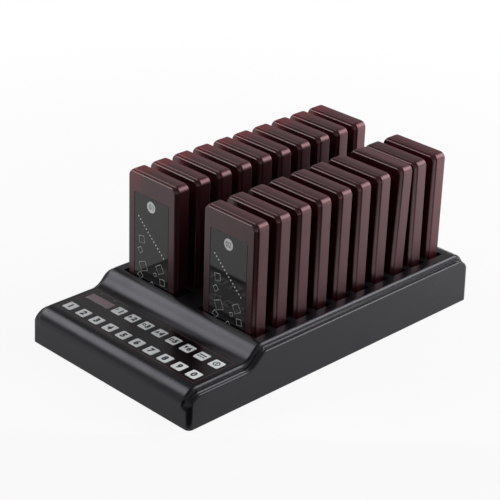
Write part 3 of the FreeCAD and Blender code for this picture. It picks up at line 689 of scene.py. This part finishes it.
legendLook = {"digitSize": 7.3 * mm, "digitWeight": 0.42 * mm, "lift": 0.012 * mm,
              "markSize": 6.4 * mm, "markWeight": 0.40 * mm, "markShift": 1.85 * mm}
symbols = {  # drawn in mm beside a small number, or alone on the last two keys
    "1": [block(-3.5, -2.0, -2.6, 2.0), block(-2.6, -0.5, -0.9, 0.5)],
    "2": [[(-3.6, -2.0), (-0.7, 0.0), (-3.6, 2.0)]],
    "3": [circle(1.55, -2.1), circle(0.7, -2.1)],
    "4": [[(-3.6, -1.8), (-0.5, -1.8), (-2.05, 2.0)]],
    "5": [block(-3.6, -1.7, -0.5, 1.7), block(-2.7, -0.8, -1.4, 0.8)],
    "6": [[(-3.6, 1.8), (-2.05, -2.0), (-0.5, 1.8)]],
    "7": [block(-3.4, 0.6, 3.4, 1.9), block(-3.4, -1.9, -1.6, -0.6), block(-0.9, -1.9, 0.9, -0.6),
          block(1.6, -1.9, 3.4, -0.6)],
    "8": [circle(2.9), circle(2.0), block(-0.55, -1.5, 0.55, 1.5)],
}
lampMark = {"radius": 0.55, "fromSide": 0.75 * mm}  # the radius is drawn in mm
lampLow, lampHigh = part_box("status_lamps")
for side, x in (("Left", lampLow.x + lampMark["fromSide"]), ("Right", lampHigh.x - lampMark["fromSide"])):
    spot = Matrix.Translation((x, (lampLow.y + lampHigh.y) / 2, overlayHigh.z + legendLook["lift"]))
    dot = flatMark("indicator" + side, [circle(lampMark["radius"])], spot, finish["indicator"])
    settle(dot, "base", "overlay_film")
for body in keyBodies:
    low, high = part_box(body)
    foot = footOf(low, high)
    piece = place(cap.make(body.replace("_key_", "Key"), Height=high.z - low.z), Matrix.Translation(foot))
    settle(smooth(piece), body, "key_cap", body)
    spot = Matrix.Translation((foot.x, foot.y, high.z + legendLook["lift"]))
    kind, label = body.split("_key_")
    if kind == "number":
        drawn, turned = ("6", math.pi) if label == "9" else (label, 0.0)  # a nine this thick doesn't fill
        marks = [wordMark("legend" + label, drawn, legendLook["digitSize"], legendLook["digitWeight"],
                          spot @ Matrix.Rotation(turned, 4, "Z"), finish["legend"])]
    else:
        marks = [flatMark("symbol" + label, symbols[label], spot, finish["legend"])]
        if label < "7":  # the last two keys have a larger symbol and no number
            aside = spot @ Matrix.Translation((legendLook["markShift"], 0, 0))
            marks.append(wordMark("symbolNumber" + label, label, legendLook["markSize"],
                                  legendLook["markWeight"], aside, finish["legend"]))
    for mark in marks:
        settle(mark, body, "key_cap")


# pagers

print("pagers")
pagerSize = {
    "Width": 53 * mm, "Height": 105 * mm, "Corner": 5 * mm, "Shell": 10.4 * mm, "Groove": 0.4 * mm,
    "Cover": 2.6 * mm, "Cover Inset": 0.1 * mm, "Cover Taper": 0.6 * mm, "Groove Inset": 0.7 * mm,
    "Edge": 0.6 * mm, "Cover Edge": 1.3 * mm, "Shell Edge": 1.5 * mm, "Window Width": 38.2 * mm,
    "Window Height": 78.9 * mm, "Window Corner": 1.2 * mm, "Window Drop": 0.8 * mm,
    "Window Below Top": 16.2 * mm, "Pad Width": 7 * mm, "Pad Depth": 3.2 * mm, "Pad Thickness": 0.5 * mm,
    "Pad Spacing": 14 * mm,
}
pager = Shape("pagerBody", {**pagerSize, "Case": finish["case"], "Neck": finish["neck"],
                            "Front": finish["front"], "Pads": finish["contact"]})
shellTop = pager["Shell"]
coverStart = shellTop + pager["Groove"]
coverTop = coverStart + pager["Cover"]


def inset(amount):  # the outline of the pager, drawn in by an amount
    return (pager["Width"] - amount * 2, pager["Height"] - amount * 2, pager["Corner"] - amount)


bodyMiddle = pager["Height"] * 0.5
windowMiddle = pager["Height"] - pager["Window Below Top"] - pager["Window Height"] * 0.5
windowOutline = (pager["Window Width"], pager["Window Height"], pager["Window Corner"])
shellRings = [*rounding(*inset(0.0), 0.0, pager["Edge"], True, bodyMiddle),
              *rounding(*inset(0.0), shellTop, pager["Shell Edge"], False, bodyMiddle),
              (*inset(pager["Groove Inset"]), shellTop, bodyMiddle)]
coverRings = [(*inset(pager["Groove Inset"]), coverStart, bodyMiddle),
              (*inset(pager["Cover Inset"]), coverStart, bodyMiddle),
              *rounding(*inset(pager["Cover Inset"] + pager["Cover Taper"]), coverTop, pager["Cover Edge"],
                        False, bodyMiddle),
              (*windowOutline, coverTop, windowMiddle),
              (*windowOutline, coverTop - pager["Window Drop"], windowMiddle)]
body, sides, top = pager.rings(shellRings + coverRings)
neck, *cover = sides[len(shellRings) - 1:]
body = pager.paint(body, pager["Case"])
for side in [*cover, top]:
    body = pager.paint(body, pager["Front"], side)
body = pager.paint(body, pager["Neck"], neck)
padPoints = pager.line(2, pager.vector(pager["Pad Spacing"] * -0.5, 0.0, shellTop * 0.5),
                       pager.vector(pager["Pad Spacing"], 0.0, 0.0))
padShape = pager.geometry("MeshCube", None, {
    "Size": pager.vector(pager["Pad Width"], pager["Pad Thickness"], pager["Pad Depth"])})
padShape = pager.moved(padShape, pager.vector(0.0, pager["Pad Thickness"] * 0.5, 0.0))
pads = pager.paint(pager.realize(pager.copies(padPoints, padShape)), pager["Pads"])
pager.close(pager.join(body, pads))

printSize = {
    "Line": 0.34 * mm, "Thickness": inkDepth, "Disc": 9.1 * mm, "Disc Place": Vector((-0.3, 32.1, 0)) * mm,
    "Dots": 14, "Dot Size": 1.35 * mm, "Dot Start": Vector((-14.2, 20.5, 0)) * mm,
    "Dot Step": Vector((2.15, -1.95, 0)) * mm,
}
discSteps, dotSteps = 40, 8
printSquares = (  # across and up from the middle of the window, and the side, in mm; then the turn in degrees
    (-10.5, 2.5, 5.6, 12), (-12.2, -7.0, 4.2, 38), (-8.6, -19.5, 7.4, 22), (-12.0, -28.0, 4.6, 50),
    (9.8, -15.5, 6.6, 30), (12.6, -25.5, 5.0, 8), (1.2, -31.5, 3.6, 41), (4.6, -22.0, 2.8, 20))
artwork = Shape("windowPrint", {**printSize, "Finish": finish["print"]})
profile = artwork.rectangle(artwork["Line"], artwork["Thickness"])
prints = []
for x, y, size, turn in printSquares:
    square = artwork.geometry("CurveToMesh", None, {
        "Curve": artwork.rectangle(size * mm, size * mm), "Profile Curve": profile})
    prints.append(artwork.moved(square, Vector((x * mm, y * mm, 0)), (0, 0, math.radians(turn))))
disc = artwork.disc(discSteps, artwork["Disc"], artwork["Thickness"])
prints.append(artwork.moved(disc, artwork["Disc Place"]))
dot = artwork.disc(dotSteps, artwork["Dot Size"], artwork["Thickness"])
dotLine = artwork.line(artwork["Dots"], artwork["Dot Start"], artwork["Dot Step"])
prints.append(artwork.copies(dotLine, dot))
artwork.close(artwork.join(*prints), artwork["Finish"])


def pointsOf(names):  # the points of some CAD nodes, each taken once
    return [Vector(p) for p in {
        tuple(round(c, 6) for c in v.co) for name in names for v in nodes[name].data.vertices}]


def standing(body):  # where a pager stands and how it leans, from its CAD nodes
    names = members[body]
    outer = pointsOf([n for n in names if n.endswith("front_cover")] or names)
    halfway = (min(p.z for p in outer) + max(p.z for p in outer)) / 2
    upper = [p for p in outer if p.z > halfway]
    lower = [p for p in outer if p.z <= halfway]
    rise = sum(upper, Vector()) / len(upper) - sum(lower, Vector()) / len(lower)
    tilt = Matrix.Rotation(-math.atan2(rise.y, rise.z), 4, "X")
    upright = [tilt.inverted() @ p for p in pointsOf(names)]
    low, high = (Vector([f(p[k] for p in upright) for k in range(3)]) for f in (min, max))
    return tilt @ Matrix.Translation(footOf(low, high))


numberLook = {"size": 6.0 * mm, "weight": 0.02 * mm}
panelSize = {"gap": 0.36 * mm, "recess": 0.05 * mm, "edge": 0.16 * mm}  # how it sits in the cover's window
totalDepth = pagerSize["Shell"] + pagerSize["Groove"] + pagerSize["Cover"]
panelPlace = pagerSize["Height"] - pagerSize["Window Below Top"] - pagerSize["Window Height"] / 2
lying = Matrix.Rotation(math.pi / 2, 4, "X")  # a shape drawn flat, stood up to face the keypad
for body in sorted(b for b in members if b.startswith("pager_")):
    number = body[-2:]
    upright = standing(body) @ Matrix.Translation((0, totalDepth / 2, 0)) @ lying
    piece = place(pager.make("pagerCase" + number), upright)
    opened = [n for n in members[body] if n.endswith(("front_cover", "rear_shell", "charging_pads"))]
    settle(smooth(piece), body, "pager_case", *(opened or [body]))

    piece = plate.make(
        "pagerWindow" + number, Width=pagerSize["Window Width"] - 2 * panelSize["gap"],
        Height=pagerSize["Window Height"] - 2 * panelSize["gap"],
        Corner=pagerSize["Window Corner"] - panelSize["gap"],
        Depth=pagerSize["Window Drop"] - panelSize["recess"], Edge=panelSize["edge"], Finish=finish["window"])
    place(piece, upright @ Matrix.Translation((0, panelPlace, totalDepth - pagerSize["Window Drop"])))
    settle(smooth(piece), body, "pager_window", *[n for n in members[body] if n.endswith("window_panel")])

    inkFace = upright @ Matrix.Translation((0, panelPlace, totalDepth - panelSize["recess"] + inkDepth / 2))
    settle(place(artwork.make("windowPrint" + number), inkFace), body, "pager_window")
    spot = inkFace @ Matrix.Translation(printSize["Disc Place"] + Vector((0, 0, inkDepth)))
    piece = wordMark("pagerNumber" + number, number, numberLook["size"], numberLook["weight"], spot,
                     finish["number"])
    settle(piece, body, "pager_window")


# the CAD nodes that stay as they are

print("inner pieces")
innerFinish = {
    "display_module": "block", "keypad_board": "board", "key_switches": "switch",
    "status_lamps": "lampGuide", "charging_boards": "board", "charging_springs": "contact",
    "main_board": "board", "aerial": "steel", "pager_01_circuit_board": "board",
    "pager_01_battery": "battery", "pager_01_vibration_motor": "motor", "pager_01_signal_lamps": "lamp",
}
for node, name in innerFinish.items():
    for holder in nodes[node].material_slots:
        holder.material = finish[name]


# floor, lights and camera

print("studio")
studio = {
    "floor": (0.82, 0.82, 0.82), "floorReach": 6.0, "floorHeight": -0.2 * mm, "floorRoughness": 0.8,
    "floorGrain": (40.0, 2.0), "floorGrainRoughness": 0.1,
    "clearRadius": (0.32, 0.75), "clearNear": 0.90, "mirrored": 0.35,  # how white the floor is close by
    "brighter": (0.0, 0.50), "brighterBy": 1.45,  # reflections of the floor, towards the right rear
    "card": {"place": (0.606, -0.626, 0.001), "turn": 45, "width": 0.75, "depth": 0.70},
    "skyFill": 0.12, "lowFill": 0.42, "skyFrom": (0.40, 0.70),  # the world overhead, and near the horizon
    "lights": {  # place, the point that it faces, width, height and watts
        "frontLeft": ((-1.08, -0.64, 1.08), (0, -0.08, 0.03), 1.1, 0.85, 10.5),
        "rightBack": ((0.72, 1.09, 0.94), (0, 0, 0.05), 1.1, 1.1, 19.0),
    },
}


def flatSheet(name, matrix, width, depth):  # width and depth are from its middle to its edges
    mesh = bpy.data.meshes.new(name)
    corners = [matrix @ Vector((x * width, y * depth, 0)) for x, y in block(-1, -1, 1, 1)]
    mesh.from_pydata(corners, [], [(0, 1, 2, 3)])
    piece = bpy.data.objects.new(name, mesh)
    scene.collection.objects.link(piece)
    return piece


floor = flatSheet("studioFloor", Matrix.Translation((0, 0, studio["floorHeight"])),
                  studio["floorReach"], studio["floorReach"])
f = Finish("studioFloor")
away = f.ease(f.math("SQRT", f.x * f.x + f.y * f.y), *studio["clearRadius"])
grain = f.noise(*studio["floorGrain"]) * studio["floorGrainRoughness"]
paper = f.node("ShaderNodeBsdfPrincipled", None, {
    "Base Color": (*studio["floor"], 1.0), "Roughness": studio["floorRoughness"] + grain})
rays = f.node("ShaderNodeLightPath")
glossy = rays.out("Is Glossy Ray")
behind = f.ease((f.x + f.y) * math.sqrt(0.5), *studio["brighter"])
white = f.node("ShaderNodeEmission", None, {
    "Color": (1, 1, 1, 1), "Strength": 1.0 + glossy * behind * studio["brighterBy"]})
seen = (f.direct(rays) * (studio["clearNear"] + away * (1 - studio["clearNear"]))
        + glossy * (studio["mirrored"] + away * (1 - studio["mirrored"])))
f.node("ShaderNodeOutputMaterial", None, {
    "Surface": f.node("ShaderNodeMixShader", None, {0: seen, 1: paper, 2: white})})
floor.data.materials.append(f.material)

cardSize = studio["card"]  # a black card on the floor towards the camera
cardTurn = Matrix.Rotation(math.radians(cardSize["turn"]), 4, "Z")
card = flatSheet("blackCard", Matrix.Translation(cardSize["place"]) @ cardTurn,
                 cardSize["width"], cardSize["depth"])
card.data.materials.append(makePlain("blackCard", (0.012, 0.012, 0.012), (0.008, 0.008, 0.008), 0.9))
card.visible_camera = False
card.visible_shadow = False

world = bpy.data.worlds.new("studioWorld")
scene.world = world
world.use_nodes = True
world.node_tree.nodes.clear()
w = Tree(world.node_tree)
heading = w.node("ShaderNodeSeparateXYZ", None, {0: w.node("ShaderNodeTexCoord", out="Generated")}, out="Z")
shade = w.ease(heading, *studio["skyFrom"], studio["lowFill"], studio["skyFill"])
glow = w.node("ShaderNodeMix", {"data_type": "FLOAT"}, {
    "Factor_Float": w.direct(w.node("ShaderNodeLightPath")), "A_Float": shade, "B_Float": 1.0},
    out="Result_Float")
w.node("ShaderNodeOutputWorld", None, {
    "Surface": w.node("ShaderNodeBackground", None, {"Color": (1, 1, 1, 1), "Strength": glow})})

for name, (spot, aim, width, height, watts) in studio["lights"].items():
    light = bpy.data.lights.new(name, "AREA")
    light.shape = "RECTANGLE"
    light.size = width
    light.size_y = height
    light.energy = watts
    lamp = bpy.data.objects.new(name, light)
    lamp.location = spot
    lamp.rotation_euler = (Vector(aim) - Vector(spot)).to_track_quat("-Z", "Y").to_euler()
    lamp.visible_camera = False
    scene.collection.objects.link(lamp)

viewpoint = {"azimuth": 44.629, "elevation": 26.043, "roll": 2.055, "distance": 1.33112,
             "aim": (-0.00922, -0.0001, 0.05731), "lens": 125.10, "sensor": 36.0}
azimuth, elevation, roll = (math.radians(viewpoint[k]) for k in ("azimuth", "elevation", "roll"))
back = Vector((math.sin(azimuth) * math.cos(elevation), -math.cos(azimuth) * math.cos(elevation),
               math.sin(elevation)))
across = (-back).cross(Vector((0, 0, 1))).normalized()
upward = across.cross(-back)
cameraX = across * math.cos(roll) + upward * math.sin(roll)
cameraY = upward * math.cos(roll) - across * math.sin(roll)
lens = bpy.data.cameras.new("camera")
lens.lens = viewpoint["lens"]
lens.sensor_width = viewpoint["sensor"]
camera = bpy.data.objects.new("camera", lens)
scene.collection.objects.link(camera)
turn = Matrix((cameraX, cameraY, back)).transposed().to_4x4()
camera.matrix_world = Matrix.Translation(Vector(viewpoint["aim"]) + back * viewpoint["distance"]) @ turn
scene.camera = camera

bpy.context.view_layer.update()
